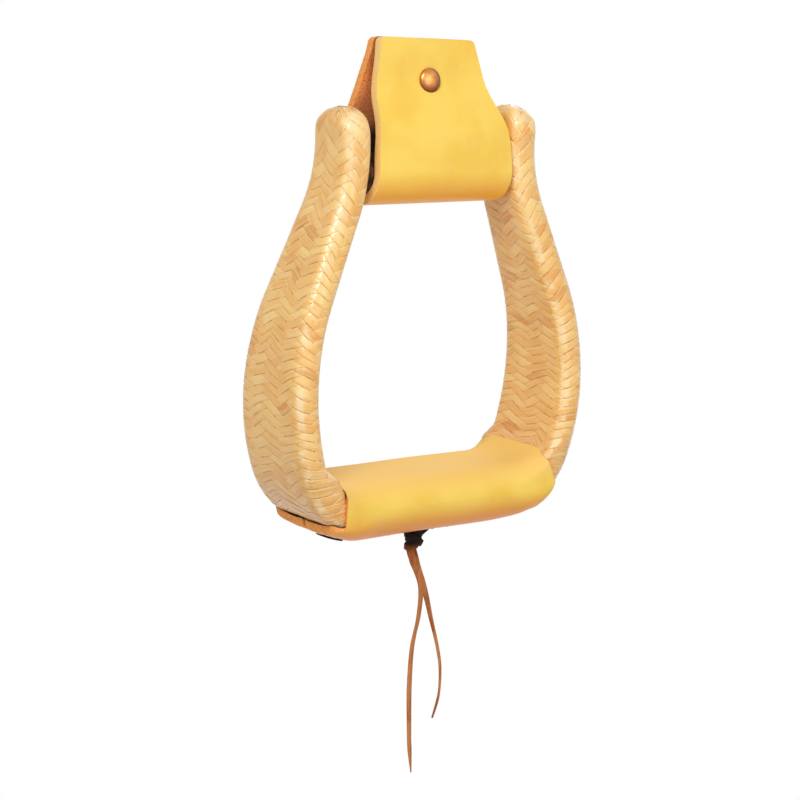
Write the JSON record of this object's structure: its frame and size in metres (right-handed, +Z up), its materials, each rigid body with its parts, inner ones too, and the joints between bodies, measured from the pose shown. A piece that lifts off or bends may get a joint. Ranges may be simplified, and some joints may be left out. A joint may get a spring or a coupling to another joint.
{
  "type": "riding stirrup",
  "caption": "Bell-shaped riding stirrup of steam-bent wood under plaited rawhide, with a laced leather tread cover and a riveted leather cover folded round the neck roller.",
  "frame": {"origin": "middle of the neck roller's axis, halfway between the legs", "axes": "+X to the right along the roller's axis, +Y to the back, +Z up towards the saddle"},
  "size_m": [0.1692, 0.0504, 0.3506],
  "materials": {
    "wood": "bare ash, smooth",
    "rawhide": "plaited rawhide strings, varnished, cream with amber strands",
    "leather": "smooth oiled skirting leather, yellow grain side out",
    "lace": "dark brown latigo lace, matt",
    "steel": "plain zinc-plated",
    "copper": "polished copper rivet"
  },
  "bodies": {
    "frame": {"bentwood_frame": "wood", "tread_pad": "wood", "pad_nail_left": "steel", "pad_nail_right": "steel", "rawhide_cover_left": "rawhide", "rawhide_cover_right": "rawhide", "tread_cover": "leather", "seam_lace_left": "lace", "seam_lace_right": "lace", "lace_knot": "lace", "lace_tail_long": "lace", "lace_tail_short": "lace", "neck_bolt": "steel", "head_washer": "steel", "nut_washer": "steel", "bolt_nut": "steel"},
    "folded_cover": {"bolt_cover": "leather", "rivet_cap": "copper", "rivet_back": "copper"},
    "roller": {"neck_roller": "wood"}
  },
  "joints": [
    {"name": "cover_swing", "type": "hinge", "parent": "frame", "child": "folded_cover", "pos_m": [0, 0, 0], "axis": [1, 0, 0], "continuous": true},
    {"name": "roller_spin", "type": "hinge", "parent": "frame", "child": "roller", "pos_m": [0, 0, 0], "axis": [1, 0, 0], "continuous": true}
  ]
}
